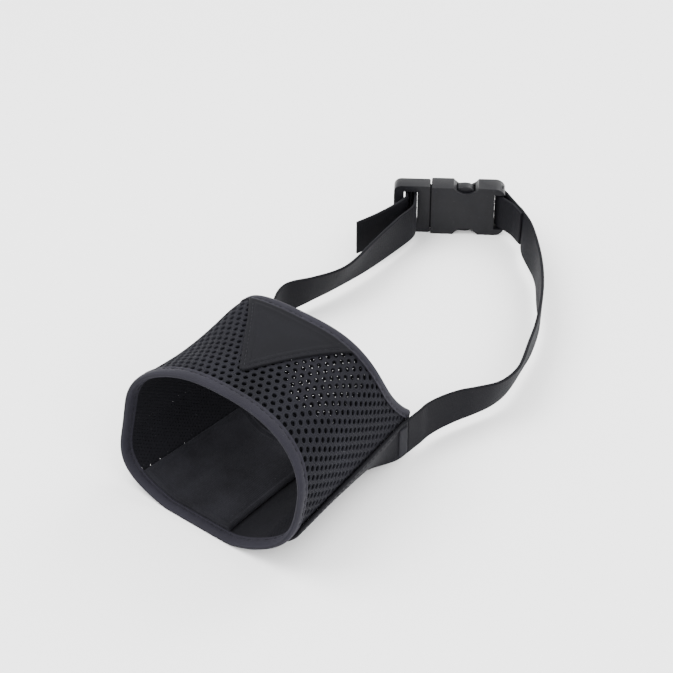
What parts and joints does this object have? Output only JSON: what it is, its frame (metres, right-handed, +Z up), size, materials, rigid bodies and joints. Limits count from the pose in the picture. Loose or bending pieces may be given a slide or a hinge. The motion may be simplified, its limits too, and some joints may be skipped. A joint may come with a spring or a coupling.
{
  "type": "soft mesh sleeve muzzle",
  "caption": "Soft mesh sleeve muzzle for a dog: an open-ended padded mesh tube with bound edges, a webbing neck loop and a side-release buckle.",
  "frame": {"origin": "centre of the bounding box's base: on the surface the muzzle lies on, under the middle of the whole object", "axes": "+Y from the nose opening towards the neck loop and its buckle, +X to the right seen from above, +Z up"},
  "size_m": [0.1482, 0.2904, 0.0763],
  "materials": {
    "mesh_cloth": "open knitted spacer mesh, matt",
    "smooth_cloth": "smooth woven nylon, matt",
    "lining_cloth": "knitted lining, matt",
    "binding_tape": "folded woven tape, slight sheen",
    "webbing": "woven nylon webbing, slight sheen",
    "thread": "sewing thread",
    "moulded_plastic": "fine moulded texture, satin"
  },
  "bodies": {
    "sleeve": {"mesh_panel_right": "mesh_cloth", "mesh_panel_left": "mesh_cloth", "chin_panel": "smooth_cloth", "chin_lining": "lining_cloth", "nose_patch": "smooth_cloth", "front_binding": "binding_tape", "rear_binding": "binding_tape", "side_band_right": "webbing", "side_band_left": "webbing", "corner_tack_right": "thread", "corner_tack_left": "thread"},
    "neck_loop": {"strap_right": "webbing", "strap_right_wrap": "webbing", "strap_left": "webbing", "buckle_socket": "moulded_plastic"},
    "plug": {"buckle_plug": "moulded_plastic", "strap_left_tail": "webbing"},
    "upper_arm": {"release_arm_upper": "moulded_plastic"},
    "lower_arm": {"release_arm_lower": "moulded_plastic"}
  },
  "joints": [
    {"name": "neck_loop_lift", "type": "hinge", "parent": "sleeve", "child": "neck_loop", "pos_m": [0.0157, -0.0402, 0.0147], "axis": [1, 0, 0], "range_deg": [0, 60]},
    {"name": "buckle_release", "type": "slide", "parent": "neck_loop", "child": "plug", "axis": [-0.7986, -0.6018, 0], "range_m": [0, 0.026], "deforming": ["release_arm_upper", "release_arm_lower"]},
    {"name": "upper_arm_squeeze", "type": "hinge", "parent": "plug", "child": "upper_arm", "pos_m": [-0.05529, 0.11818, 0.023], "axis": [-0.6018, 0.7986, 0], "range_deg": [0, 6], "stiffness_Nm_per_rad": 0.05, "springref_deg": -2.86},
    {"name": "lower_arm_squeeze", "type": "hinge", "parent": "plug", "child": "lower_arm", "pos_m": [-0.05529, 0.11818, 0.0064], "axis": [0.6018, -0.7986, 0], "range_deg": [0, 6], "stiffness_Nm_per_rad": 0.05, "springref_deg": -2.86}
  ]
}
